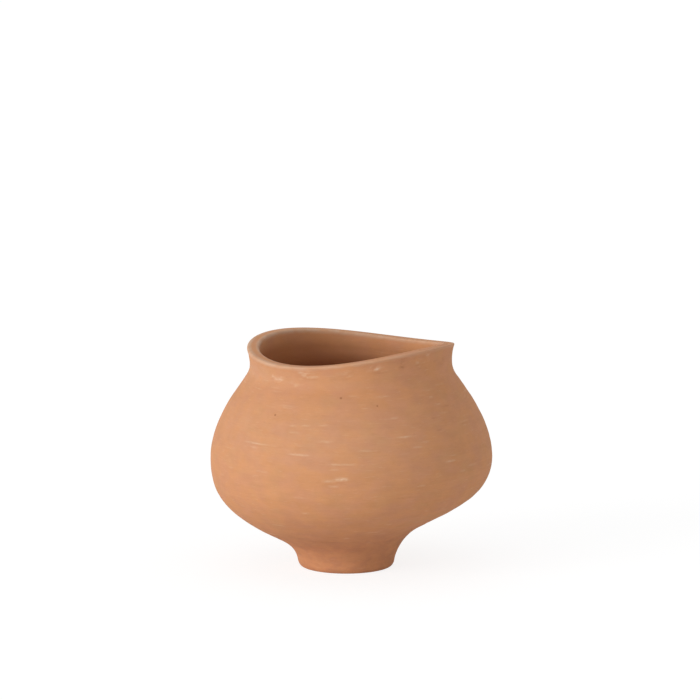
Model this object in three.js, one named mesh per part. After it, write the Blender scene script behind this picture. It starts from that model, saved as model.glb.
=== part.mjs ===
// A hand-thrown terracotta jar for planting: one wide mouth with a wavy lip, a short neck,
// a round belly and a narrow hollow foot with a drain hole over it.
//
// Millimetres, +Z up. The origin is on the ground, straight below the middle of the belly.
//
// The jar is thrown as four sections, which are luted together with slip:
//   foot_ring       the hollow foot that the jar stands on
//   lower_bowl      the floor with its drain hole, and the wall up to the belly
//   upper_shoulder  the wall from the belly in to the neck
//   neck_collar     the neck and the lip
// Every section is a closed list of rings. A ring has a radius, a height and a level: the
// level is the height on the outside of the jar whose sag and wave the ring shares, so that
// the wall keeps its thickness where the soft clay has moved.
import * as THREE from "three";
import { toCreasedNormals } from "three/addons/utils/BufferGeometryUtils.js";

// Heights of the four sections, stacked from the ground up. The last is an average, as the lip waves.
const FOOT_HEIGHT = 30;
const BOWL_HEIGHT = 82.2;
const SHOULDER_HEIGHT = 93.4;
const COLLAR_HEIGHT = 18;

// Outside radii.
const FOOT_RADIUS = 47.5;
const WAIST_RADIUS = 65.1; // where the foot meets the bowl
const BELLY_RADIUS = 141.3;
const NECK_RADIUS = 101.1;
const LIP_RADIUS = 103.4;

// The throat, where the shoulder starts to turn up into the neck.
const THROAT_FLARE = 8.2; // how much wider it is than the neck
const THROAT_DROP = 18.1; // how far it lies below the neck

// Walls and openings.
const FOOT_LAND = 9.5; // width of the ring of clay that touches the ground
const FOOT_JOINT_WIDTH = 15; // width of the foot's top face, which carries the bowl
const FLOOR_THICKNESS = 11;
const FLOOR_ROUNDING = 12; // how far the floor's edge is rounded up into the wall
const WALL = 9;
const LIP_WALL = 10.5;
const DRAIN_RADIUS = 10;

// Slopes of the outside, in degrees above level.
const FOOT_EDGE_SLOPE = 54;
const WAIST_SLOPE = 34.9;
const UPRIGHT = 90;
const THROAT_SLOPE = 124; // leaning in
const LIP_SLOPE = 68;

// How far the outside runs on along each of those slopes before it turns.
const FOOT_EDGE_PULL = 2.6;
const WAIST_PULL_BELOW = 22.2;
const WAIST_PULL_ABOVE = 51.3;
const BELLY_PULL_BELOW = 44.5;
const BELLY_PULL_ABOVE = 32.9;
const THROAT_PULL_BELOW = 12.3;
const THROAT_PULL_ABOVE = 5;
const NECK_PULL_BELOW = 8.5;
const NECK_PULL_ABOVE = 5;
const LIP_PULL = 3;

// Rounded edges.
const FOOT_EDGE_ROUNDING = 1.5;
const DRAIN_EDGE_ROUNDING = 1.5;
const LIP_OUTER_ROUNDING = 3;
const LIP_INNER_ROUNDING = 2.4;

// Luted joints: a ridge along the top of one section in a groove under the next.
const RIDGE_HEIGHT = 3;
const SLIP_GAP = 0.3; // the layer of slip between them

// Sag: the foot was luted on off centre, and the wet bowl slumped towards -X above it.
const FOOT_SHIFT = 5.3;
const SLUMP = 9.2;
const SLUMP_RISE = 12.3; // from the waist up to the fullest part of the slump
const SLUMP_REACH_BELOW = 14.7;
const SLUMP_REACH_ABOVE = 27.2;
const LIP_SHIFT = 1;

// Wave of the lip: two crests and two troughs pressed into the wet clay, on a slight tilt.
const WAVE_HEIGHT = 6.15;
const WAVE_CREST_ANGLE = -38.8; // degrees from +X towards +Y
const TILT_HEIGHT = 1.35;
const TILT_ANGLE = 11;
const WAVE_DROP = 40; // how far below the lip the wave dies out

// How finely the curves are cut into faces.
const SEGMENTS = 64; // round the jar
const FOOT_STEPS = 6;
const RECESS_STEPS = 4;
const BOWL_STEPS = 9;
const SHOULDER_STEPS = 8;
const THROAT_STEPS = 4;
const COLLAR_STEPS = 4;
const EDGE_STEPS = 3;
const SMOOTH_BELOW = 30; // degrees between two faces that still read as one smooth surface

const WAIST_LEVEL = FOOT_HEIGHT;
const BELLY_LEVEL = WAIST_LEVEL + BOWL_HEIGHT;
const NECK_LEVEL = BELLY_LEVEL + SHOULDER_HEIGHT;
const LIP_LEVEL = NECK_LEVEL + COLLAR_HEIGHT;

const radians = THREE.MathUtils.degToRad;
const ease = THREE.MathUtils.smoothstep;

// ---- How the soft clay moved ----

// The part of the lip's movement that reaches a level.
const lipShare = (level) => ease(level, LIP_LEVEL - WAVE_DROP, LIP_LEVEL);

// How far the jar's middle lies from the axis at a level, along X.
function shiftAt(level) {
  const slumpLevel = WAIST_LEVEL + SLUMP_RISE;
  const reach = level < slumpLevel ? SLUMP_REACH_BELOW : SLUMP_REACH_ABOVE;
  const slump = SLUMP * Math.exp(-(((level - slumpLevel) / reach) ** 2));
  const foot = FOOT_SHIFT * (1 - ease(level, slumpLevel, BELLY_LEVEL));
  return -foot - slump - LIP_SHIFT * lipShare(level);
}

// How far the lip rises above or dips below its average, at an angle round the jar.
function lipRise(angle) {
  const wave = WAVE_HEIGHT * Math.cos(2 * (angle - radians(WAVE_CREST_ANGLE)));
  const tilt = TILT_HEIGHT * Math.cos(angle - radians(TILT_ANGLE));
  return wave + tilt;
}

// ---- Outlines, as radius and height ----

const point = (radius, height) => new THREE.Vector2(radius, height);

const along = (slope, length) => point(length, 0).rotateAround(point(0, 0), radians(slope));

// A curve between two points that leaves and arrives along the given slopes.
function sweep(from, slopeFrom, pullFrom, to, slopeTo, pullTo) {
  const leaving = from.clone().add(along(slopeFrom, pullFrom));
  const arriving = to.clone().sub(along(slopeTo, pullTo));
  return new THREE.CubicBezierCurve(from, leaving, arriving, to);
}

const footOutline = sweep(
  point(FOOT_RADIUS, FOOT_EDGE_ROUNDING), FOOT_EDGE_SLOPE, FOOT_EDGE_PULL,
  point(WAIST_RADIUS, WAIST_LEVEL), WAIST_SLOPE, WAIST_PULL_BELOW,
);
const bowlOutline = sweep(
  point(WAIST_RADIUS, WAIST_LEVEL), WAIST_SLOPE, WAIST_PULL_ABOVE,
  point(BELLY_RADIUS, BELLY_LEVEL), UPRIGHT, BELLY_PULL_BELOW,
);
const throat = point(NECK_RADIUS + THROAT_FLARE, NECK_LEVEL - THROAT_DROP);
const shoulderOutline = sweep(
  point(BELLY_RADIUS, BELLY_LEVEL), UPRIGHT, BELLY_PULL_ABOVE,
  throat, THROAT_SLOPE, THROAT_PULL_BELOW,
);
const throatOutline = sweep(
  throat, THROAT_SLOPE, THROAT_PULL_ABOVE,
  point(NECK_RADIUS, NECK_LEVEL), UPRIGHT, NECK_PULL_BELOW,
);
const collarOutline = sweep(
  point(NECK_RADIUS, NECK_LEVEL), UPRIGHT, NECK_PULL_ABOVE,
  point(LIP_RADIUS, LIP_LEVEL - LIP_OUTER_ROUNDING), LIP_SLOPE, LIP_PULL,
);

// ---- Rings ----

const ring = (radius, height, level = height) => ({ radius, height, level });

// Which way a wall's thickness is measured from a point on its outside.
const squareIn = (heading) => point(-heading.y, heading.x);
const levelIn = () => point(-1, 0);

// The rings of an outline, and those that lie one wall further in, in the same order.
function wallRings(outline, steps, wallFrom, wallTo, inward) {
  const outside = [];
  const inside = [];
  for (let i = 0; i <= steps; i++) {
    const at = outline.getPoint(i / steps);
    const heading = outline.getTangent(i / steps);
    const wall = THREE.MathUtils.lerp(wallFrom, wallTo, i / steps);
    const back = at.clone().addScaledVector(inward(heading), wall);
    outside.push(ring(at.x, at.y));
    inside.push(ring(back.x, back.y, at.y));
  }
  return { outside, inside };
}

const ringsOf = (curve, steps) => curve.getPoints(steps).map((at) => ring(at.x, at.y));

// The rings of a rounded edge between two points, where the sharp one would have its corner
// at a third.
function roundedEdge(from, corner, to) {
  return ringsOf(new THREE.QuadraticBezierCurve(from, corner, to), EDGE_STEPS);
}

const raised = (one, by) => ring(one.radius, one.height + by, one.level);

// The crest of the ridge between the outer and inner edge of a section's top face.
function ridge(outerEdge, innerEdge) {
  const middle = (outerEdge.radius + innerEdge.radius) / 2;
  return ring(middle, outerEdge.height + RIDGE_HEIGHT, outerEdge.level);
}

// ---- Sections: up the outside, over the top, down the inside and back under ----

function footRings() {
  const innerRadius = FOOT_RADIUS - FOOT_LAND;
  const innerTop = ring(WAIST_RADIUS - FOOT_JOINT_WIDTH, WAIST_LEVEL);
  const edge = FOOT_EDGE_ROUNDING;
  const outerEdge = roundedEdge(
    point(FOOT_RADIUS - edge, 0), point(FOOT_RADIUS - edge / 2, 0), point(FOOT_RADIUS, edge),
  );
  const outside = ringsOf(footOutline, FOOT_STEPS);
  const top = outside[outside.length - 1];
  const recess = new THREE.QuadraticBezierCurve(
    point(innerTop.radius, innerTop.height), point(innerRadius, WAIST_LEVEL / 2), point(innerRadius, edge),
  );
  const inside = ringsOf(recess, RECESS_STEPS);
  return [
    ...outerEdge.slice(0, -1),
    ...outside,
    ridge(top, innerTop),
    ...inside,
    ring(innerRadius + edge, 0),
  ];
}

function bowlRings() {
  const underside = WAIST_LEVEL + SLIP_GAP;
  const floorTop = WAIST_LEVEL + FLOOR_THICKNESS;
  const edge = DRAIN_EDGE_ROUNDING;
  const wallAtFloor = FLOOR_THICKNESS / Math.cos(radians(WAIST_SLOPE));
  const { outside, inside } = wallRings(bowlOutline, BOWL_STEPS, wallAtFloor, WALL, squareIn);
  const waist = outside.shift();
  const floorEdge = inside.shift();
  const belly = outside[outside.length - 1];
  const innerBelly = inside[inside.length - 1];
  const footJoint = ring(WAIST_RADIUS - FOOT_JOINT_WIDTH, WAIST_LEVEL);
  return [
    raised(waist, SLIP_GAP),
    ...outside,
    ridge(belly, innerBelly),
    ...inside.reverse(),
    ring(floorEdge.radius - FLOOR_ROUNDING, floorTop, WAIST_LEVEL),
    ring(DRAIN_RADIUS + edge, floorTop, WAIST_LEVEL),
    ring(DRAIN_RADIUS, floorTop - edge, WAIST_LEVEL),
    ring(DRAIN_RADIUS, underside + edge, WAIST_LEVEL),
    ring(DRAIN_RADIUS + edge, underside, WAIST_LEVEL),
    raised(footJoint, SLIP_GAP),
    raised(ridge(waist, footJoint), SLIP_GAP),
  ];
}

function shoulderRings() {
  const shoulder = wallRings(shoulderOutline, SHOULDER_STEPS, WALL, WALL, squareIn);
  const turnUp = wallRings(throatOutline, THROAT_STEPS, WALL, WALL, squareIn);
  const outside = [...shoulder.outside, ...turnUp.outside.slice(1)];
  const inside = [...shoulder.inside, ...turnUp.inside.slice(1)];
  const belly = outside.shift();
  const innerBelly = inside.shift();
  const neck = outside[outside.length - 1];
  const innerNeck = inside[inside.length - 1];
  return [
    raised(belly, SLIP_GAP),
    ...outside,
    ridge(neck, innerNeck),
    ...inside.reverse(),
    raised(innerBelly, SLIP_GAP),
    raised(ridge(belly, innerBelly), SLIP_GAP),
  ];
}

function collarRings() {
  const { outside, inside } = wallRings(collarOutline, COLLAR_STEPS, WALL, LIP_WALL, levelIn);
  const neck = outside.shift();
  const innerNeck = inside.shift();
  const outerCorner = outside.pop();
  const innerRadius = inside.pop().radius;
  const flare = LIP_OUTER_ROUNDING / Math.tan(radians(LIP_SLOPE));
  const outerEdge = roundedEdge(
    point(outerCorner.radius, outerCorner.height),
    point(outerCorner.radius + flare, LIP_LEVEL),
    point(outerCorner.radius + flare - LIP_OUTER_ROUNDING, LIP_LEVEL),
  );
  const innerEdge = roundedEdge(
    point(innerRadius + LIP_INNER_ROUNDING, LIP_LEVEL),
    point(innerRadius, LIP_LEVEL),
    point(innerRadius, LIP_LEVEL - LIP_INNER_ROUNDING),
  );
  return [
    raised(neck, SLIP_GAP),
    ...outside,
    ...outerEdge,
    ...innerEdge,
    ...inside.reverse(),
    raised(innerNeck, SLIP_GAP),
    raised(ridge(neck, innerNeck), SLIP_GAP),
  ];
}

// ---- Meshes ----

// Turns rings into a solid with its axis up Z, then moves each ring as its clay moved.
function turned(rings) {
  const outline = [...rings, rings[0]];
  const lathe = new THREE.LatheGeometry(outline.map((one) => point(one.radius, one.height)), SEGMENTS);
  lathe.rotateX(Math.PI / 2);
  const vertices = lathe.getAttribute("position");
  for (let i = 0; i < vertices.count; i++) {
    const { level } = outline[i % outline.length];
    const angle = Math.atan2(vertices.getY(i), vertices.getX(i));
    vertices.setX(i, vertices.getX(i) + shiftAt(level));
    vertices.setZ(i, vertices.getZ(i) + lipShare(level) * lipRise(angle));
  }
  return toCreasedNormals(lathe, radians(SMOOTH_BELOW));
}

// Unglazed terracotta, dry and dull. The foot has taken up some moisture and is redder.
const terracotta = (color, roughness) => new THREE.MeshStandardMaterial({ color, roughness, metalness: 0 });

function section(name, rings, material) {
  const mesh = new THREE.Mesh(turned(rings), material);
  mesh.name = name;
  return mesh;
}

const jar = new THREE.Group();
jar.name = "planter_jar";
jar.add(section("foot_ring", footRings(), terracotta(0xbd835d, 0.92)));
jar.add(section("lower_bowl", bowlRings(), terracotta(0xc68b63, 0.9)));
jar.add(section("upper_shoulder", shoulderRings(), terracotta(0xc98f67, 0.9)));
jar.add(section("neck_collar", collarRings(), terracotta(0xcf9b72, 0.88)));

export default jar;
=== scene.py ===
"""A hand-thrown terracotta planter jar on a plain white studio floor.

Metres, +Z up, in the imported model's frame: the origin is on the ground, straight below the
middle of the belly, and the photograph is taken from -Y.

The jar's four sections share one skin, a closed row of rings that runs from the hollow of the
foot over the ground, up the outside, over the lip, down the inside, through the drain hole and
back under the floor. The skin gets the potter's traces as relief, and then each section takes
its own stretches of it and closes them with the faces of its luted joints, which lie inside
the clay. So the sections meet without a seam, as fired clay does.
"""
import math

import bpy
import numpy as np
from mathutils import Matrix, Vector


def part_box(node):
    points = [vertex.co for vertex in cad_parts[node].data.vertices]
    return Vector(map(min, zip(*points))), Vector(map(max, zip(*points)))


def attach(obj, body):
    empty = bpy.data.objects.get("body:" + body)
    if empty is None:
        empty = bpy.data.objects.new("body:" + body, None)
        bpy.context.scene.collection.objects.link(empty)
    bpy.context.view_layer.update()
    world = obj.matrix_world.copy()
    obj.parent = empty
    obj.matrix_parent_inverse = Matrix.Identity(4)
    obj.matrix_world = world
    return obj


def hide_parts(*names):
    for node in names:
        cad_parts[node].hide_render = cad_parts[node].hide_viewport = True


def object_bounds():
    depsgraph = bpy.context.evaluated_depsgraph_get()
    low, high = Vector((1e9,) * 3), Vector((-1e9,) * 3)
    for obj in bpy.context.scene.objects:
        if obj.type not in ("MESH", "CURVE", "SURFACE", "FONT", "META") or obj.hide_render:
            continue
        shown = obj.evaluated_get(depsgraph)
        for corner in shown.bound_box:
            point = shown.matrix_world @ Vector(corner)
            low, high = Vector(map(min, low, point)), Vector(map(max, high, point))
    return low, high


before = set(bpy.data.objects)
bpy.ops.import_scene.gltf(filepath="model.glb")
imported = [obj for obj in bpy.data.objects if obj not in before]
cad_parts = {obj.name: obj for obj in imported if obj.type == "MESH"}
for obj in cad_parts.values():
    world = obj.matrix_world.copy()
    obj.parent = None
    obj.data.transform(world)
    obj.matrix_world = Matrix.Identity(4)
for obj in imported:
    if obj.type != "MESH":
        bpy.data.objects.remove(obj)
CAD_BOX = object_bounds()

# ---- Sizes of the jar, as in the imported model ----

bowl_low, bowl_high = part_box("lower_bowl")
SLIP_GAP = 0.0003
WAIST_LEVEL = bowl_low.z - SLIP_GAP
WAIST_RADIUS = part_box("foot_ring")[1].y
BELLY_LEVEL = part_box("upper_shoulder")[0].z - SLIP_GAP
BELLY_RADIUS = bowl_high.y
NECK_LEVEL = BELLY_LEVEL + 0.0934
NECK_RADIUS = 0.1011
THROAT_RADIUS = NECK_RADIUS + 0.0082
THROAT_LEVEL = NECK_LEVEL - 0.0181
LIP_LEVEL = NECK_LEVEL + 0.0180
LIP_RADIUS = 0.1034
FOOT_RADIUS = 0.0475

FOOT_LAND = 0.0095
FOOT_JOINT_WIDTH = 0.015
FLOOR_THICKNESS = 0.011
FLOOR_ROUNDING = 0.012
FLOOR_ROUNDING_RISE = 0.0085
WALL = 0.009
DRAIN_RADIUS = 0.010
RIDGE_HEIGHT = 0.003
JOINT_INSET = 0.03  # how far inside the clay a joint's face starts, as a share of the wall

# Slopes of the outside in degrees above level, and how far it runs on along each.
UPRIGHT = 90
FOOT_EDGE_SLOPE, FOOT_EDGE_PULL = 54, 0.0026
WAIST_SLOPE, WAIST_PULL_BELOW, WAIST_PULL_ABOVE = 34.9, 0.0222, 0.0513
BELLY_PULL_BELOW, BELLY_PULL_ABOVE = 0.0445, 0.0329
THROAT_SLOPE, THROAT_PULL_BELOW, THROAT_PULL_ABOVE = 124, 0.0123, 0.005
NECK_PULL_BELOW, NECK_PULL_ABOVE = 0.0085, 0.005
LIP_SLOPE, LIP_PULL = 68, 0.003

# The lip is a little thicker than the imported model's, as the photograph shows it at the left.
LIP_WALL = 0.0120

# Rounded edges. The foot's outer edge is worn, and the lip's outer edge is fuller on the jar's
# left than on its right.
FOOT_EDGE_ROUNDING = 0.0015
FOOT_WEAR = 0.0036
DRAIN_EDGE_ROUNDING = 0.0015
LIP_ROUNDING = 0.003
LIP_ROUNDING_LEFT = 0.0042
LIP_ROUNDING_RIGHT = 0.0022
LIP_INNER_ROUNDING = 0.0030
LIP_BLEND = 0.007

# Sag of the foot and the bowl, and the wave of the lip.
FOOT_SHIFT = 0.0053
SLUMP = 0.0092
SLUMP_LEVEL = WAIST_LEVEL + 0.0123
SLUMP_REACH_BELOW = 0.0147
SLUMP_REACH_ABOVE = 0.0272
LIP_SHIFT = 0.001
WAVE_HEIGHT = 0.00615
WAVE_CREST_ANGLE = math.radians(-38.8)
TILT_HEIGHT = 0.00135
TILT_ANGLE = math.radians(11)
WAVE_DROP = 0.040

# Spacing of the rings where the jar is seen most, and where it is seen less.
FINE = 0.0009
MEDIUM = 0.0018
COARSE = 0.0026
EDGE = 0.0004
AROUND = 320
ANGLES = np.arange(AROUND) * 2 * math.pi / AROUND


# ---- Outline: rings from the foot's hollow round to the same place ----

# The columns of a ring.
RADIUS, HEIGHT, LEVEL, EASED_IN, EASED_DOWN, FINISH = range(6)


def smoothstep(value, low, high):
    share = np.clip((value - low) / (high - low), 0, 1)
    return share * share * (3 - 2 * share)


def point(radius, height):
    return np.array([radius, height])


def along(slope, length):
    return length * point(math.cos(math.radians(slope)), math.sin(math.radians(slope)))


class Curve:
    """A Bezier curve through the plane of radius and height."""

    def __init__(self, *knots):
        self.knots = np.array(knots)

    def at(self, share):
        """The curve's points at these shares of its run, and its headings there."""
        row = self.knots[:, None, :]
        share = np.asarray(share)[:, None]
        while len(row) > 2:
            row = row[:-1] * (1 - share) + row[1:] * share
        heading = row[1] - row[0]
        place = row[0] * (1 - share) + row[1] * share
        return place, heading / np.linalg.norm(heading, axis=1, keepdims=True)

    def evenly(self, spacing):
        """Shares that cut the curve into equal lengths near the spacing."""
        fine = np.linspace(0, 1, 401)
        steps = np.diff(self.at(fine)[0], axis=0)
        run = np.concatenate([[0], np.cumsum(np.hypot(*steps.T))])
        count = max(2, round(run[-1] / spacing))
        return np.interp(np.linspace(0, run[-1], count + 1), run, fine)


def sweep(start, slope_from, pull_from, end, slope_to, pull_to):
    leaving = start + along(slope_from, pull_from)
    arriving = end - along(slope_to, pull_to)
    return Curve(start, leaving, arriving, end)


def rings(places, finish, level=None, eased=(0, 0)):
    """Rings of a stretch. A ring's level is the height on the outside whose sag and wave it
    shares, and eased is how it moves per metre that the lip's edge is rounded further."""
    radius, height = places.T
    columns = (radius, height, height if level is None else level, *np.transpose(eased), finish)
    return np.stack(np.broadcast_arrays(*columns), axis=1)


def wall(curve, spacing, wall_from, wall_to, finish):
    """Rings of an outline's inner side, one wall further in and square to it, downwards."""
    share = curve.evenly(spacing)[::-1]
    place, heading = curve.at(share)
    thickness = wall_from + (wall_to - wall_from) * share
    inward = np.stack([-heading[:, 1], heading[:, 0]], axis=1)
    return rings(place + inward * thickness[:, None], finish, place[:, 1])


def stretch(curve, spacing, finish, level=None):
    return rings(curve.at(curve.evenly(spacing))[0], finish, level)


foot_outline = sweep(
    point(FOOT_RADIUS, FOOT_EDGE_ROUNDING), FOOT_EDGE_SLOPE, FOOT_EDGE_PULL,
    point(WAIST_RADIUS, WAIST_LEVEL), WAIST_SLOPE, WAIST_PULL_BELOW,
)
bowl_outline = sweep(
    point(WAIST_RADIUS, WAIST_LEVEL), WAIST_SLOPE, WAIST_PULL_ABOVE,
    point(BELLY_RADIUS, BELLY_LEVEL), UPRIGHT, BELLY_PULL_BELOW,
)
shoulder_outline = sweep(
    point(BELLY_RADIUS, BELLY_LEVEL), UPRIGHT, BELLY_PULL_ABOVE,
    point(THROAT_RADIUS, THROAT_LEVEL), THROAT_SLOPE, THROAT_PULL_BELOW,
)
throat_outline = sweep(
    point(THROAT_RADIUS, THROAT_LEVEL), THROAT_SLOPE, THROAT_PULL_ABOVE,
    point(NECK_RADIUS, NECK_LEVEL), UPRIGHT, NECK_PULL_BELOW,
)
collar_outline = sweep(
    point(NECK_RADIUS, NECK_LEVEL), UPRIGHT, NECK_PULL_ABOVE,
    point(LIP_RADIUS, LIP_LEVEL - LIP_ROUNDING), LIP_SLOPE, LIP_PULL,
)

# How a surface was finished: how deep the potter's traces are on it, from 0 to 1.
CUT, TRIMMED, SMOOTHED, THROWN = 0.12, 0.35, 0.5, 1.0


def foot_skin():
    """The hollow inside the foot, the ring that touches the ground and the outside."""
    inner = FOOT_RADIUS - FOOT_LAND
    edge = FOOT_EDGE_ROUNDING
    top = point(WAIST_RADIUS - FOOT_JOINT_WIDTH, WAIST_LEVEL)
    hollow = Curve(top, point(inner, WAIST_LEVEL / 2), point(inner, edge))
    inner_edge = Curve(point(inner, edge), point(inner, 0), point(inner + edge, 0))
    land = Curve(point(inner + edge, 0), point(FOOT_RADIUS - FOOT_WEAR, 0))
    share = foot_outline.evenly(FINE)
    place, _ = foot_outline.at(share)
    upper = place[:, 1] > FOOT_WEAR
    worn_edge = Curve(land.knots[-1], point(FOOT_RADIUS - FOOT_WEAR / 5, 0), place[upper][0])
    return [
        stretch(hollow, MEDIUM, TRIMMED),
        stretch(inner_edge, EDGE, CUT),
        stretch(land, MEDIUM, CUT),
        stretch(worn_edge, EDGE, CUT),
        rings(place[upper], SMOOTHED),
    ]


def collar_skin():
    """The collar's outside. Its last rings make room for the edge where that is rounded further."""
    place, _ = collar_outline.at(collar_outline.evenly(FINE))
    share = smoothstep(place[:, 1], place[-1, 1] - LIP_BLEND, place[-1, 1])
    return [rings(place, SMOOTHED, eased=np.outer(-share, along(LIP_SLOPE, 1)))]


def lip_skin():
    """The lip's outer edge, its top and its inner edge."""
    flare = LIP_ROUNDING / math.tan(math.radians(LIP_SLOPE))
    corner = point(LIP_RADIUS + flare, LIP_LEVEL)
    down = along(LIP_SLOPE, 1)
    outer = Curve(corner - down * LIP_ROUNDING, corner, corner - point(LIP_ROUNDING, 0))
    share = outer.evenly(EDGE)
    eased = (1 - share[:, None]) ** 2 * down + share[:, None] ** 2 * point(1, 0)
    outer_edge = rings(outer.at(share)[0], SMOOTHED, LIP_LEVEL, -eased)

    inner_radius = LIP_RADIUS - LIP_WALL
    inner_start = point(inner_radius + LIP_INNER_ROUNDING, LIP_LEVEL)
    inner_end = point(inner_radius, LIP_LEVEL - LIP_INNER_ROUNDING)
    inner_corner = point(inner_radius, LIP_LEVEL)
    inner = Curve(inner_start, inner_corner, inner_end)
    inner_edge = stretch(inner, EDGE, SMOOTHED, LIP_LEVEL)

    top = Curve(outer.knots[-1], inner_start)
    share = top.evenly(EDGE * 2)
    top_face = rings(top.at(share)[0], SMOOTHED, LIP_LEVEL, np.outer(share - 1, point(1, 0)))
    return [outer_edge, top_face, inner_edge]


def inside_skin():
    """The collar, the shoulder, the bowl and the floor from inside, the drain hole and the underside."""
    collar_share = collar_outline.evenly(MEDIUM)[::-1]
    place, _ = collar_outline.at(collar_share)
    thickness = WALL + (LIP_WALL - WALL) * collar_share
    collar = rings(place - np.outer(thickness, point(1, 0)), THROWN, place[:, 1])
    wall_at_floor = FLOOR_THICKNESS / math.cos(math.radians(WAIST_SLOPE))
    throat = wall(throat_outline, MEDIUM, WALL, WALL, THROWN)
    shoulder = wall(shoulder_outline, MEDIUM, WALL, WALL, THROWN)
    bowl = wall(bowl_outline, MEDIUM, wall_at_floor, WALL, THROWN)

    floor_top = WAIST_LEVEL + FLOOR_THICKNESS
    underside = WAIST_LEVEL
    edge = DRAIN_EDGE_ROUNDING
    corner = bowl[-1, :2]
    bowl = bowl[bowl[:, LEVEL] > WAIST_LEVEL + FLOOR_ROUNDING_RISE]
    rounding = Curve(bowl[-1, :2], corner, point(corner[0] - FLOOR_ROUNDING, floor_top))
    share = rounding.evenly(MEDIUM)
    turn_level = bowl[-1, LEVEL] + (WAIST_LEVEL - bowl[-1, LEVEL]) * share
    turn = rings(rounding.at(share)[0], THROWN, turn_level)
    floor = Curve(rounding.knots[-1], point(DRAIN_RADIUS + edge, floor_top))
    rim = Curve(floor.knots[-1], point(DRAIN_RADIUS, floor_top), point(DRAIN_RADIUS, floor_top - edge))
    hole = Curve(rim.knots[-1], point(DRAIN_RADIUS, underside + edge))
    lower_corner = point(DRAIN_RADIUS, underside)
    lower_rim = Curve(hole.knots[-1], lower_corner, lower_corner + point(edge, 0))
    under = Curve(lower_rim.knots[-1], point(WAIST_RADIUS - FOOT_JOINT_WIDTH, underside))
    return [
        collar,
        throat,
        shoulder,
        bowl,
        turn,
        stretch(floor, COARSE, THROWN, WAIST_LEVEL),
        stretch(rim, EDGE, CUT, WAIST_LEVEL),
        stretch(hole, MEDIUM, CUT, WAIST_LEVEL),
        stretch(lower_rim, EDGE, CUT, WAIST_LEVEL),
        stretch(under, COARSE, TRIMMED, WAIST_LEVEL),
    ]


def joined(stretches):
    """One array of the stretches' rings, each without its first, which the one before it ends with."""
    return np.concatenate([one[1:] for one in stretches])


# The skin starts one ring after the joint inside the foot, so its last ring is that joint's.
foot_rings = joined(foot_skin())
bowl_rings = joined([stretch(bowl_outline, FINE, THROWN)])
shoulder_rings = joined([stretch(one, FINE, THROWN) for one in (shoulder_outline, throat_outline)])
collar_rings = joined([*collar_skin(), *lip_skin()])
inside = inside_skin()
outline = np.concatenate([foot_rings, bowl_rings, shoulder_rings, collar_rings, joined(inside)])

# The ring at which each joint reaches the skin, outside and inside, and the ring at which the
# outside ends, on the lip's inner edge.
WAIST_OUT = len(foot_rings) - 1
BELLY_OUT = WAIST_OUT + len(bowl_rings)
NECK_OUT = BELLY_OUT + len(shoulder_rings)
LIP_END = NECK_OUT + len(collar_rings)
NECK_IN = LIP_END + len(inside[0]) - 1
BELLY_IN = NECK_IN + len(joined(inside[1:3]))
FOOT_IN = len(outline) - 1
IS_OUTSIDE = np.arange(len(outline)) < LIP_END


# ---- Where the soft clay moved ----

def shift_at(level):
    """How far the jar's middle lies from the axis at a level, along X."""
    reach = np.where(level < SLUMP_LEVEL, SLUMP_REACH_BELOW, SLUMP_REACH_ABOVE)
    slump = SLUMP * np.exp(-(((level - SLUMP_LEVEL) / reach) ** 2))
    foot = FOOT_SHIFT * (1 - smoothstep(level, SLUMP_LEVEL, BELLY_LEVEL))
    return -foot - slump - LIP_SHIFT * lip_share(level)


def lip_share(level):
    return smoothstep(level, LIP_LEVEL - WAVE_DROP, LIP_LEVEL)


def lip_rise():
    """How far the lip rises or dips at each angle round the jar."""
    wave = WAVE_HEIGHT * np.cos(2 * (ANGLES - WAVE_CREST_ANGLE))
    return wave + TILT_HEIGHT * np.cos(ANGLES - TILT_ANGLE)


def lip_easing():
    """How much further than on average the lip's outer edge is rounded at each angle."""
    left = (1 - np.cos(ANGLES)) / 2
    return LIP_ROUNDING_RIGHT + (LIP_ROUNDING_LEFT - LIP_ROUNDING_RIGHT) * left - LIP_ROUNDING


def skin_points():
    """The skin's points as (ring, angle, xyz), before any relief."""
    level = outline[:, LEVEL, None]
    radius = outline[:, RADIUS, None] + outline[:, EASED_IN, None] * lip_easing()
    height = outline[:, HEIGHT, None] + outline[:, EASED_DOWN, None] * lip_easing()
    x = radius * np.cos(ANGLES) + shift_at(level)
    y = radius * np.sin(ANGLES)
    z = height + lip_share(level) * lip_rise()
    return np.stack([x, y, z], axis=-1)


def normals_of(points):
    up = np.roll(points, -1, axis=0) - np.roll(points, 1, axis=0)
    round_jar = np.roll(points, -1, axis=1) - np.roll(points, 1, axis=1)
    out = np.cross(round_jar, up)
    return out / np.linalg.norm(out, axis=-1, keepdims=True)


# ---- The potter's traces ----

rng = np.random.default_rng(7)

# Traces that run round the jar: how far apart they lie, how long they are as a share of the
# turn, and how deep.
THROWING_TRACES = [
    (0.0022, 1 / 22, 0.000035),
    (0.0045, 1 / 12, 0.000070),
    (0.0110, 1 / 6, 0.000130),
]
HAND_WOBBLE = (0.045, 1 / 5, 0.00035)
INSIDE_TRACES = (0.0085, 1 / 5, 0.00022)


def drift(spacing, turn_share):
    """Smooth random values from -1 to 1 on the skin, in rows that run round the jar."""
    row = SKIN_RUN / spacing
    cells = round(1 / turn_share)
    count = int(row[-1]) + 2
    knots = rng.uniform(-1, 1, (count, cells))
    place = (ANGLES / (2 * math.pi) + rng.random((count, 1))) * cells
    cell = place.astype(int)
    share = smoothstep(place - cell, 0, 1)
    index = np.arange(count)[:, None]
    lines = knots[index, cell % cells] * (1 - share) + knots[index, (cell + 1) % cells] * share
    below = row.astype(int)
    blend = smoothstep(row - below, 0, 1)[:, None]
    return lines[below] * (1 - blend) + lines[below + 1] * blend


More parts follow.
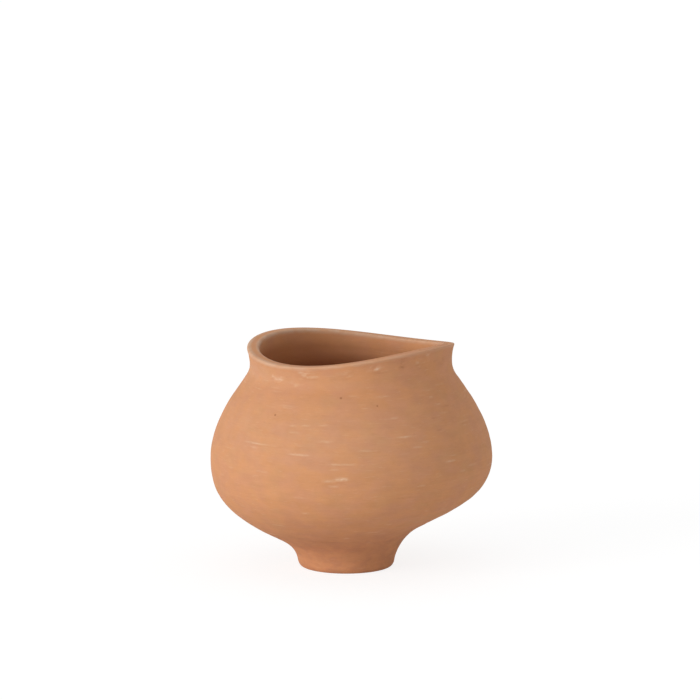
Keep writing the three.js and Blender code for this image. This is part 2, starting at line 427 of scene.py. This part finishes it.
# Marks on the outside: angle round the jar in degrees, level, half its length, half its
# width, and how pale it is from -1 to 1. A pale one is a smear of slip, a dark one a scrape.
MARKS = [
    (-94, 0.1140, 0.0060, 0.0018, 0.95),
    (-99, 0.1120, 0.0055, 0.0014, 0.45),
    (-97, 0.1070, 0.0045, 0.0010, 0.40),
    (-94, 0.1285, 0.0130, 0.0008, 0.50),
    (-97, 0.1235, 0.0045, 0.0008, 0.35),
    (-112, 0.1360, 0.0100, 0.0009, 0.70),
    (-134, 0.1420, 0.0150, 0.0008, 0.60),
    (-101, 0.1495, 0.0070, 0.0010, 0.30),
    (-117, 0.1620, 0.0030, 0.0008, 0.40),
    (-111, 0.1630, 0.0040, 0.0008, 0.40),
    (-103, 0.1640, 0.0040, 0.0008, 0.35),
    (-116, 0.1560, 0.0060, 0.0008, 0.30),
    (-67, 0.1525, 0.0070, 0.0008, 0.50),
    (-70, 0.1700, 0.0040, 0.0008, 0.35),
    (-46, 0.1250, 0.0070, 0.0009, 0.50),
    (-61, 0.1045, 0.0040, 0.0009, 0.35),
    (-39, 0.1130, 0.0040, 0.0009, 0.30),
    (-108, 0.0770, 0.0030, 0.0010, 0.40),
    (-135, 0.2060, 0.0060, 0.0018, 0.50),
    (-111, 0.2120, 0.0050, 0.0016, 0.45),
    (-38, 0.1750, 0.0050, 0.0008, -0.60),
    (-49, 0.1665, 0.0050, 0.0008, -0.50),
    (-48, 0.1555, 0.0040, 0.0008, -0.40),
    (-80, 0.1565, 0.0040, 0.0008, -0.30),
    (-67, 0.0935, 0.0120, 0.0009, -0.35),
    (-127, 0.2105, 0.0040, 0.0008, -0.45),
    (-77, 0.2160, 0.0025, 0.0020, -0.60),
    (-60, 0.2190, 0.0070, 0.0026, -0.20),
    (-49, 0.2175, 0.0090, 0.0009, -0.35),
    (-100, 0.0385, 0.0160, 0.0009, -0.55),
    (-115, 0.0640, 0.0090, 0.0045, -0.25),
]
STRAY_MARKS = 220

# Smudges left by hands round the neck, each a loose group of small marks: angle, level, how far
# they lie from the middle along and across the turn, how many, and how pale.
SMUDGES = [
    (-136, 0.2045, 0.0075, 0.0040, 12, 0.42),
    (-116, 0.2130, 0.0080, 0.0050, 14, 0.36),
    (-122, 0.2010, 0.0060, 0.0030, 6, 0.28),
    (-94, 0.2125, 0.0070, 0.0045, 7, 0.26),
    (-77, 0.2150, 0.0055, 0.0030, 9, 0.36),
    (-60, 0.2155, 0.0022, 0.0045, 9, -0.38),
    (-45, 0.2150, 0.0120, 0.0050, 12, 0.28),
    (-30, 0.2080, 0.0100, 0.0060, 8, -0.30),
    (35, 0.2100, 0.0140, 0.0060, 14, 0.45),
    (120, 0.2080, 0.0120, 0.0060, 14, 0.45),
]

# A pale mark has a painted shadow under it, a darker line: how dark it is as a share of the mark's
# paleness, and how many half widths it lies below the mark.
UNDER_SHADOW = 0.4
UNDER_SHADOW_BELOW = 1.8

SMEAR_RISE = 0.00012
SCRAPE_DEPTH = 0.00018

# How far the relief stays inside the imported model's box.
BOX_MARGIN = 0.00002

# Wear on each lip edge, with a painted highlight that is strongest towards the jar's left, where the key
# light falls. How far it reaches from each edge, how pale it is and how much that differs round the jar,
# and the angle at which it is least pale.
LIP_PALE_REACH = 0.0048
LIP_PALE_ON_AVERAGE, LIP_PALE_DIFFERENCE = 0.72, 0.28
PALE_LEAST_ANGLE = math.radians(-40)

# The neck, paler towards the jar's left: partly dust where hands have held the jar, partly painted light
# that lifts the shade under the lip.
NECK_PALENESS = 0.38
NECK_PALE_REACH = 0.016

# A faint painted sheen on the shoulder, facing the key light at the front left.
SHOULDER_SHEEN = 0.17
SHEEN_LEVEL = 0.150
SHEEN_REACH = 0.036
SHEEN_ANGLE = math.radians(-118)
SHEEN_SHARPNESS = 4

# Painted shade on the inside: how far below the lip it is full, and the angle at which there is none.
INSIDE_SHADE_REACH = 0.016
INSIDE_SHADE_LEAST_ANGLE = math.radians(25)


def stray_marks():
    """Fainter marks of the same kinds, anywhere on the outside."""
    angle = rng.uniform(0, 360, STRAY_MARKS)
    level = rng.uniform(WAIST_LEVEL, LIP_LEVEL, STRAY_MARKS)
    half_length = rng.uniform(0.002, 0.011, STRAY_MARKS)
    half_width = rng.uniform(0.0005, 0.0010, STRAY_MARKS)
    paleness = rng.choice([1, 1, -1], STRAY_MARKS) * rng.uniform(0.08, 0.35, STRAY_MARKS)
    return np.stack([angle, level, half_length, half_width, paleness], axis=1)


def smudge_marks():
    """The small marks that make up the smudges."""
    made = []
    for degrees, level, along_turn, across, count, paleness in SMUDGES:
        angle = degrees + np.degrees(rng.uniform(-1, 1, count) * along_turn / NECK_RADIUS)
        at_level = level + rng.uniform(-1, 1, count) * across
        half_length = rng.uniform(0.0012, 0.0038, count)
        half_width = rng.uniform(0.0008, 0.0020, count)
        pale = paleness * rng.uniform(0.3, 1, count)
        made.append(np.stack([angle, at_level, half_length, half_width, pale], axis=1))
    return np.concatenate(made)


def marks():
    """How pale or dark the marks are at each point of the skin, with a painted shadow under each pale
    mark.
    """
    shade = np.zeros((len(outline), AROUND))
    radius = outline[IS_OUTSIDE, RADIUS, None]
    level = outline[IS_OUTSIDE, LEVEL, None]
    every_mark = [*MARKS, *stray_marks(), *smudge_marks()]
    for degrees, at_level, half_length, half_width, paleness in every_mark:
        turn = np.angle(np.exp(1j * (ANGLES - math.radians(degrees))))
        reach = turn * radius / half_length
        rise = (level - at_level) / half_width
        under = rise + UNDER_SHADOW_BELOW
        shade[IS_OUTSIDE] += paleness * np.exp(-(reach ** 4) - rise ** 2)
        # The darker line below each pale mark is a painted shadow.
        shade[IS_OUTSIDE] -= UNDER_SHADOW * max(paleness, 0) * np.exp(-(reach ** 4) - under ** 2)
    return np.clip(shade, -1, 1)


def on_wall(level, reach):
    """1 on the outside at a level, and less the further a ring is from it."""
    return IS_OUTSIDE * np.exp(-(((outline[:, LEVEL] - level) / reach) ** 2))


def wear_and_painted_light():
    """How pale the clay is, from 0 to 1: worn pale with a painted highlight on the lip's two edges, less
    on the neck, with dust where hands have held it and painted light, and least in a painted sheen on
    the shoulder."""
    from_edges = [
        np.hypot(outline[:, RADIUS] - radius, outline[:, HEIGHT] - LIP_LEVEL)
        for radius in (LIP_RADIUS, LIP_RADIUS - LIP_WALL)
    ]
    # Wear on the lip's edges, partly a painted highlight.
    edge = 1 - smoothstep(np.minimum(*from_edges), LIP_PALE_REACH / 4, LIP_PALE_REACH)
    turned = np.cos(ANGLES - PALE_LEAST_ANGLE)
    on_lip = np.outer(edge, LIP_PALE_ON_AVERAGE - LIP_PALE_DIFFERENCE * turned)
    # Paler neck, most at the jar's left: dust, partly painted light.
    on_neck = np.outer(on_wall(NECK_LEVEL, NECK_PALE_REACH), NECK_PALENESS * (1 - turned) / 2)
    # A painted sheen on the shoulder, facing the key light.
    facing = ((1 + np.cos(ANGLES - SHEEN_ANGLE)) / 2) ** SHEEN_SHARPNESS
    on_shoulder = np.outer(on_wall(SHEEN_LEVEL, SHEEN_REACH), SHOULDER_SHEEN * facing)
    return np.maximum(on_lip, np.maximum(on_neck, on_shoulder))


def painted_inside_shade():
    """How dark the inside is with painted shade, from 0 to 1: from a little below the lip down to the
    drain, most on the jar's left, away from the key light, and least at the right.
    """
    depth = smoothstep(SKIN_RUN - SKIN_RUN[LIP_END], 0, INSIDE_SHADE_REACH)
    drain = np.argmin(outline[:, RADIUS])
    above_drain = np.where(np.arange(len(outline)) < drain, depth, 0)
    # Painted shade, strongest on the jar's left.
    return np.outer(above_drain, (1 - np.cos(ANGLES - INSIDE_SHADE_LEAST_ANGLE)) / 2)


def relief(shade):
    """How far each point of the skin stands out from the plain outline: by the potter's traces,
    and by the wobble of the hand, the smears and the scrapes."""
    finish = outline[:, FINISH, None]
    traces = sum(deep * drift(apart, share) for apart, share, deep in THROWING_TRACES)
    apart, share, deep = INSIDE_TRACES
    traces += ~IS_OUTSIDE[:, None] * deep * drift(apart, share)
    apart, share, deep = HAND_WOBBLE
    wobble = deep * drift(apart, share) * np.minimum(1, finish / SMOOTHED)
    left_on = SMEAR_RISE * np.maximum(shade, 0) + SCRAPE_DEPTH * np.minimum(shade, 0)
    return traces * finish, wobble + left_on


def room_for(points):
    """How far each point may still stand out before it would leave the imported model's box."""
    low, high = (np.array(corner) for corner in CAD_BOX)
    return np.minimum(points - low, high - points).min(axis=-1) - BOX_MARGIN


plain = skin_points()
outward = normals_of(plain)
SKIN_RUN = np.concatenate([[0], np.cumsum(np.hypot(*np.diff(outline[:, :2], axis=0).T))])
SHADE = marks()
TRACES, BROAD = relief(SHADE)
skin = plain + outward * np.minimum(TRACES + BROAD, room_for(plain))[..., None]
skin_normals = normals_of(skin)

# What the material reads at each point of the skin. Traces of this depth read as 1.
DEEP_TRACE = 0.0002
TRAITS = {
    "traces": TRACES / DEEP_TRACE,
    "shade": SHADE,
    "wear_and_painted_light": wear_and_painted_light(),
    "painted_inside_shade": painted_inside_shade(),
}


# ---- Sections ----

def joint(outer, inner, side):
    """The rings of a luted joint from the skin's outer ring to its inner one: a ridge in a
    groove. Side is -1 for the face below the slip and 1 for the face above it."""
    def ring(share, rise):
        lifted = outer + (inner - outer) * share
        lifted[:, 2] += rise + side * SLIP_GAP / 2
        return lifted
    return np.stack([ring(JOINT_INSET, 0), ring(0.5, RIDGE_HEIGHT), ring(1 - JOINT_INSET, 0)])


def stretch_of(first, last):
    """The skin's rings from first to last, on past its end if need be."""
    return np.arange(first, last + 1) % len(outline)


def section(name, material, parts):
    """A closed piece from parts in turn round its cross-section: a stretch of the skin is
    given by its ring numbers, and a joint by its points."""
    on_skin = [part.ndim == 1 for part in parts]
    points = [skin[part] if is_skin else part for part, is_skin in zip(parts, on_skin)]
    normals = [
        skin_normals[part] if is_skin else np.zeros_like(part) + (0, 0, 1)
        for part, is_skin in zip(parts, on_skin)
    ]
    points = np.concatenate(points)
    count = len(points)
    ring = np.arange(count)[:, None] * AROUND
    next_ring = (np.arange(count)[:, None] + 1) % count * AROUND
    turn = np.arange(AROUND)
    next_turn = (turn + 1) % AROUND
    corners = [ring + turn, ring + next_turn, next_ring + next_turn, next_ring + turn]
    mesh = bpy.data.meshes.new(name)
    mesh.from_pydata(points.reshape(-1, 3), [], np.stack(corners, axis=-1).reshape(-1, 4))
    mesh.shade_smooth()
    mesh.normals_split_custom_set_from_vertices(np.concatenate(normals).reshape(-1, 3))
    for trait, on_rings in TRAITS.items():
        values = [
            on_rings[part] if is_skin else np.zeros(part.shape[:2])
            for part, is_skin in zip(parts, on_skin)
        ]
        made = mesh.attributes.new(trait, "FLOAT", "POINT")
        made.data.foreach_set("value", np.concatenate(values).astype(np.float32).ravel())
    mesh.materials.append(material)
    piece = bpy.data.objects.new(name, mesh)
    bpy.context.scene.collection.objects.link(piece)
    return piece


# ---- Materials ----

def add(tree, kind, sockets, **settings):
    """A new node. Sockets gives each input a value, or another node's output to read."""
    node = tree.nodes.new(kind)
    for name, value in settings.items():
        setattr(node, name, value)
    for name, value in sockets.items():
        if isinstance(value, bpy.types.NodeSocket):
            tree.links.new(value, node.inputs[name])
        else:
            node.inputs[name].default_value = value
    return node


def mix(tree, share, one, other, blend="MIX"):
    """One colour turned to another by a share from 0 to 1."""
    node = tree.nodes.new("ShaderNodeMix")
    node.data_type = "RGBA"
    node.blend_type = blend
    # The node has inputs of each kind; 6 and 7 are the colours.
    for number, value in ((0, share), (6, one), (7, other)):
        socket = node.inputs[number]
        if isinstance(value, bpy.types.NodeSocket):
            tree.links.new(value, socket)
        else:
            socket.default_value = value
    return node.outputs[2]


def spread(tree, value, low, high, to_low=0.0, to_high=1.0):
    """A value's range from low to high spread over another range, and held inside it."""
    sockets = {"Value": value, "From Min": low, "From Max": high, "To Min": to_low, "To Max": to_high}
    return add(tree, "ShaderNodeMapRange", sockets).outputs[0]


def calculate(tree, operation, one, other=0.0):
    return add(tree, "ShaderNodeMath", {0: one, 1: other}, operation=operation).outputs[0]


def new_material(name):
    material = bpy.data.materials.new(name)
    material.use_nodes = True
    tree = material.node_tree
    tree.nodes.clear()
    return material, tree


def scaled(tree, colour, by):
    sockets = {0: colour, "Scale": by}
    return add(tree, "ShaderNodeVectorMath", sockets, operation="SCALE").outputs[0]


WARM_CLAY = (0.600, 0.274, 0.122, 1)
PINK_CLAY = (0.580, 0.267, 0.136, 1)
OCHRE_CLAY = (0.568, 0.279, 0.127, 1)
ORANGE_CLAY = (0.565, 0.258, 0.122, 1)
RED_CLAY = (0.522, 0.234, 0.118, 1)
INSIDE_SHADE_CLAY = (0.425, 0.156, 0.053, 1)
PALE_SLIP = (0.800, 0.600, 0.430, 1)
PALE_DUST_AND_HIGHLIGHT = (0.632, 0.412, 0.280, 1)
DEEP_CLAY = (0.330, 0.125, 0.055, 1)

# Pits where grog fell out, painted as shade only, dark spots with no hollow: (x, y, z) and radius.
PITS = [
    ((-0.0104, -0.1077, 0.1890), 0.0016),
    ((-0.0749, -0.0952, 0.1699), 0.0014),
    ((0.0252, -0.1107, 0.1817), 0.0012),
]


def terracotta():
    material, tree = new_material("terracotta")
    place = add(tree, "ShaderNodeTexCoord", {}).outputs["Object"]
    height = add(tree, "ShaderNodeSeparateXYZ", {0: place}).outputs["Z"]

    def trait(name):
        return add(tree, "ShaderNodeAttribute", {}, attribute_name=name).outputs["Fac"]

    def noise(wide, high, detail, seed):
        """Noise with features of this width and height in metres, from about 0 to 1."""
        size = (1 / wide, 1 / wide, 1 / high)
        sockets = {"Vector": place, "Scale": size, "Location": (seed, seed, seed)}
        sized = add(tree, "ShaderNodeMapping", sockets).outputs[0]
        sockets = {"Vector": sized, "Scale": 1.0, "Detail": detail}
        return add(tree, "ShaderNodeTexNoise", sockets).outputs[0]

    def times(one, other):
        return calculate(tree, "MULTIPLY", one, other)

    # The fired clay's own colour drifts in patches.
    patches = spread(tree, noise(0.024, 0.016, 3, 3), 0.38, 0.62)
    colour = mix(tree, patches, WARM_CLAY, PINK_CLAY)
    ochre = spread(tree, noise(0.030, 0.018, 3, 11), 0.52, 0.70, 0, 0.6)
    colour = mix(tree, ochre, colour, OCHRE_CLAY)

    # The foot and the bottom of the bowl are mottled in orange and red, a little darker than the rest.
    foot = spread(tree, height, 0.058, 0.034)
    mottle = spread(tree, noise(0.012, 0.008, 3, 21), 0.42, 0.60)
    colour = mix(tree, foot, colour, mix(tree, mottle, ORANGE_CLAY, RED_CLAY))

    # Blotches, streaks from the potter's fingers and sponge, and the grain of the clay, with painted
    # light on the ridges of the throwing traces and painted shade in their grooves.
    blotches = spread(tree, noise(0.016, 0.010, 4, 23), 0.3, 0.7, 0.96, 1.04)
    wide_streaks = spread(tree, noise(0.070, 0.006, 3, 5), 0.3, 0.7, 0.985, 1.015)
    fine_streaks = spread(tree, noise(0.035, 0.0016, 3, 7), 0.3, 0.7, 0.987, 1.013)
    grain = spread(tree, noise(0.0008, 0.0006, 2, 9), 0.3, 0.7, 0.98, 1.02)
    # Painted light on the traces' ridges and painted shade in their grooves.
    ridge_light_and_groove_shade = spread(tree, trait("traces"), -1, 1, 0.98, 1.02)
    wiped_foot = spread(tree, height, 0.058, 0.034, 1, 0.4)
    wiped_neck = spread(tree, height, 0.185, 0.205, 1, 0.4)
    wiped = calculate(tree, "MINIMUM", wiped_foot, wiped_neck)
    streaks_and_ridge_shade = calculate(tree, "POWER", times(times(wide_streaks, fine_streaks), ridge_light_and_groove_shade), wiped)
    colour = scaled(tree, colour, times(times(blotches, grain), streaks_and_ridge_shade))

    # Short flecks where the sponge dragged the grog, pale and dark.
    pale_flecks = spread(tree, noise(0.0090, 0.0009, 2, 25), 0.62, 0.76, 0, 0.14)
    dark_flecks = spread(tree, noise(0.0080, 0.0008, 2, 27), 0.62, 0.76, 0, 0.14)
    colour = mix(tree, pale_flecks, colour, PALE_SLIP)
    colour = mix(tree, dark_flecks, colour, DEEP_CLAY)

    # Smears of slip, scrapes, and the painted shadow under each smear. All break up along the streaks.
    broken = spread(tree, noise(0.0045, 0.0007, 3, 13), 0.38, 0.56, 0.25, 1)
    shade = trait("shade")
    colour = mix(tree, times(spread(tree, shade, 0, 1, 0, 0.72), broken), colour, PALE_SLIP)
    colour = mix(tree, times(spread(tree, shade, 0, -1, 0, 0.6), broken), colour, DEEP_CLAY)

    # Pale wear and dust on the lip's edges and the neck, with painted light there, a painted sheen on
    # the shoulder, and painted shade on the inside.
    patchy = spread(tree, noise(0.010, 0.004, 3, 29), 0.35, 0.60, 0.45, 0.9)
    # Paler lip edges, neck and shoulder: wear and dust, partly painted highlight and sheen.
    colour = mix(tree, times(trait("wear_and_painted_light"), patchy), colour, PALE_DUST_AND_HIGHLIGHT)
    # The inside darkened with painted shade, most on the left.
    colour = mix(tree, trait("painted_inside_shade"), colour, INSIDE_SHADE_CLAY)

    for centre, radius in PITS:
        away = add(tree, "ShaderNodeVectorMath", {0: place, 1: centre}, operation="DISTANCE")
        # Painted shade for each pit, a dark spot.
        pit_shade = spread(tree, away.outputs["Value"], radius, radius * 0.5, 0, 0.75)
        colour = mix(tree, pit_shade, colour, DEEP_CLAY)

    rough = spread(tree, noise(0.004, 0.002, 2, 15), 0.3, 0.7, 0.84, 0.96)
    texture = times(noise(0.0011, 0.0008, 3, 17), 0.6)
    bump = add(tree, "ShaderNodeBump", {"Height": texture, "Strength": 0.35, "Distance": 0.0003})
    sockets = {"Base Color": colour, "Roughness": rough, "Normal": bump.outputs[0]}
    shader = add(tree, "ShaderNodeBsdfPrincipled", {**sockets, "Specular IOR Level": 0.35})
    add(tree, "ShaderNodeOutputMaterial", {0: shader.outputs[0]})
    return material


# ---- Studio ----

FLOOR_SIZE = 60.0
FLOOR_LIT = 0.95
FLOOR_SEEN = 0.25
FLOOR_GLOW = 0.83
FILL = 0.63
KEY = 0.60 * math.pi
KEY_AZIMUTH = math.radians(-56)
KEY_ELEVATION = math.radians(12)
KEY_SOFTNESS = math.radians(36)


def seen_directly(tree):
    """1 for rays that show the background itself, straight or through gloss or glass."""
    path = add(tree, "ShaderNodeLightPath", {}).outputs
    reflected = calculate(tree, "MAXIMUM", path["Is Glossy Ray"], path["Is Transmission Ray"])
    return calculate(tree, "MAXIMUM", path["Is Camera Ray"], reflected)


def studio_world():
    world = bpy.data.worlds.new("studio")
    world.use_nodes = True
    tree = world.node_tree
    tree.nodes.clear()
    strength = spread(tree, seen_directly(tree), 0, 1, FILL, 1)
    sockets = {"Color": (1, 1, 1, 1), "Strength": strength}
    background = add(tree, "ShaderNodeBackground", sockets)
    add(tree, "ShaderNodeOutputWorld", {0: background.outputs[0]})
    bpy.context.scene.world = world


def studio_floor():
    half = FLOOR_SIZE / 2
    corners = [(-half, -half, 0), (half, -half, 0), (half, half, 0), (-half, half, 0)]
    mesh = bpy.data.meshes.new("floor")
    mesh.from_pydata(corners, [], [(0, 1, 2, 3)])
    material, tree = new_material("floor_white")

    # In the hollow under the jar the floor is in the dark, which shows through the drain hole.
    place = add(tree, "ShaderNodeTexCoord", {}).outputs["Object"]
    middle = (float(shift_at(0)), 0, 0)
    away = add(tree, "ShaderNodeVectorMath", {0: place, 1: middle}, operation="DISTANCE")
    around = away.outputs["Value"]
    in_the_open = calculate(tree, "GREATER_THAN", around, FOOT_RADIUS - FOOT_LAND / 2)
    seen = calculate(tree, "MULTIPLY", seen_directly(tree), in_the_open)
    colour = spread(tree, seen, 0, 1, FLOOR_LIT, FLOOR_SEEN)
    strength = spread(tree, seen, 0, 1, 0, FLOOR_GLOW)
    diffuse = add(tree, "ShaderNodeBsdfDiffuse", {"Color": colour})
    glow = add(tree, "ShaderNodeEmission", {"Strength": strength})
    white = add(tree, "ShaderNodeAddShader", {0: diffuse.outputs[0], 1: glow.outputs[0]})

    # Seen from below, the floor is clear, so that it doesn't hide the foot.
    clear = add(tree, "ShaderNodeBsdfTransparent", {})
    from_below = add(tree, "ShaderNodeNewGeometry", {}).outputs["Backfacing"]
    floor = add(tree, "ShaderNodeMixShader", {0: from_below, 1: white.outputs[0], 2: clear.outputs[0]})
    add(tree, "ShaderNodeOutputMaterial", {0: floor.outputs[0]})
    mesh.materials.append(material)
    stage = bpy.data.objects.new("floor", mesh)
    bpy.context.scene.collection.objects.link(stage)


def key_light():
    light = bpy.data.lights.new("key", "SUN")
    light.energy = KEY
    light.angle = KEY_SOFTNESS
    lamp = bpy.data.objects.new("key", light)
    lamp.rotation_euler = (math.pi / 2 - KEY_ELEVATION, 0, KEY_AZIMUTH)
    bpy.context.scene.collection.objects.link(lamp)


# The camera stands in front of the jar and looks down on it a little. One pixel of the
# 700-pixel frame is one millimetre at the jar's axis.
FRAME_PIXELS = 700
PIXEL = 0.001
CAMERA_AWAY = 4.5
CAMERA_HEIGHT = 0.9565
TARGET = (-0.00155, 0, 0.21895)


def camera():
    data = bpy.data.cameras.new("camera")
    lens_away = math.hypot(CAMERA_AWAY, CAMERA_HEIGHT - TARGET[2])
    data.sensor_fit = "HORIZONTAL"
    data.lens = data.sensor_width * lens_away / (FRAME_PIXELS * PIXEL)
    data.clip_end = FLOOR_SIZE
    eye = bpy.data.objects.new("camera", data)
    eye.location = (TARGET[0], -CAMERA_AWAY, CAMERA_HEIGHT)
    down = math.atan2(CAMERA_HEIGHT - TARGET[2], CAMERA_AWAY)
    eye.rotation_euler = (math.pi / 2 - down, 0, 0)
    bpy.context.scene.collection.objects.link(eye)
    bpy.context.scene.camera = eye


# ---- The scene ----

bpy.context.scene.view_settings.view_transform = "Standard"
camera()
studio_world()
studio_floor()
key_light()

clay = terracotta()
waist = skin[WAIST_OUT], skin[FOOT_IN]
belly = skin[BELLY_OUT], skin[BELLY_IN]
neck = skin[NECK_OUT], skin[NECK_IN]
SECTIONS = {
    "foot_ring": [stretch_of(FOOT_IN, len(outline) + WAIST_OUT), joint(*waist, -1)],
    "lower_bowl": [
        stretch_of(WAIST_OUT, BELLY_OUT), joint(*belly, -1),
        stretch_of(BELLY_IN, FOOT_IN), joint(*waist, 1)[::-1],
    ],
    "upper_shoulder": [
        stretch_of(BELLY_OUT, NECK_OUT), joint(*neck, -1),
        stretch_of(NECK_IN, BELLY_IN), joint(*belly, 1)[::-1],
    ],
    "neck_collar": [stretch_of(NECK_OUT, NECK_IN), joint(*neck, 1)[::-1]],
}
for node, parts in SECTIONS.items():
    piece = section(node + "_clay", clay, parts)
    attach(piece, "root")
    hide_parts(node)
